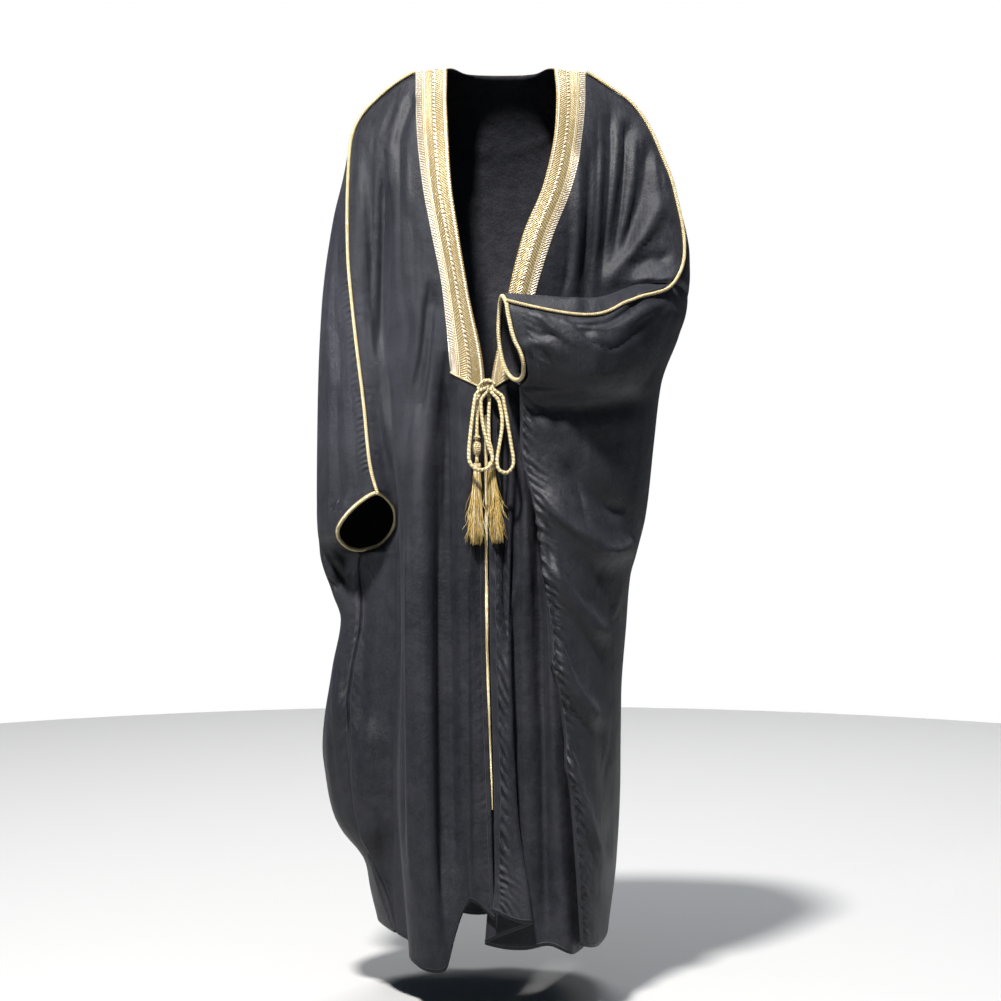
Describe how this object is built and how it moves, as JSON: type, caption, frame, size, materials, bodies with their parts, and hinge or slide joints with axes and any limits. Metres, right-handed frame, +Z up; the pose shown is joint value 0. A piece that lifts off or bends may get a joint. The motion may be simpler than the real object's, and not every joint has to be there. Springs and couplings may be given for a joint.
{
  "type": "jubba",
  "caption": "Open floor-length cloak in black crepe with wide sleeves, embroidered gold front bands, gold seam cords and a tied cord with tassels at the waist.",
  "frame": {"origin": "centre of the neck opening at the height of the shoulder line, where the wearer's shoulders hold the garment", "axes": "+Z up, -Y the garment's front, +X the wearer's left"},
  "size_m": [0.5926, 0.487, 1.3986],
  "materials": {
    "crepe": "fine satin-faced crepe",
    "gold_thread": "metallic embroidery thread",
    "gold_silk": "twisted silk strands"
  },
  "bodies": {
    "root": {"front_right": "crepe", "front_left": "crepe", "back": "crepe", "band_right": "gold_thread", "band_left": "gold_thread", "band_neck": "gold_thread", "overarm_cord_right": "gold_thread", "overarm_cord_left": "gold_thread", "cuff_cord_right": "gold_thread", "cuff_cord_left": "gold_thread", "front_piping": "gold_thread", "waist_knot": "gold_thread", "tie_loop_right": "gold_thread", "tie_loop_left": "gold_thread", "tie_tail_right": "gold_thread", "tie_tail_left": "gold_thread", "tail_knot_small": "gold_thread", "tail_knot_large": "gold_thread", "tassel_right": "gold_silk", "tassel_left": "gold_silk"}
  },
  "joints": []
}
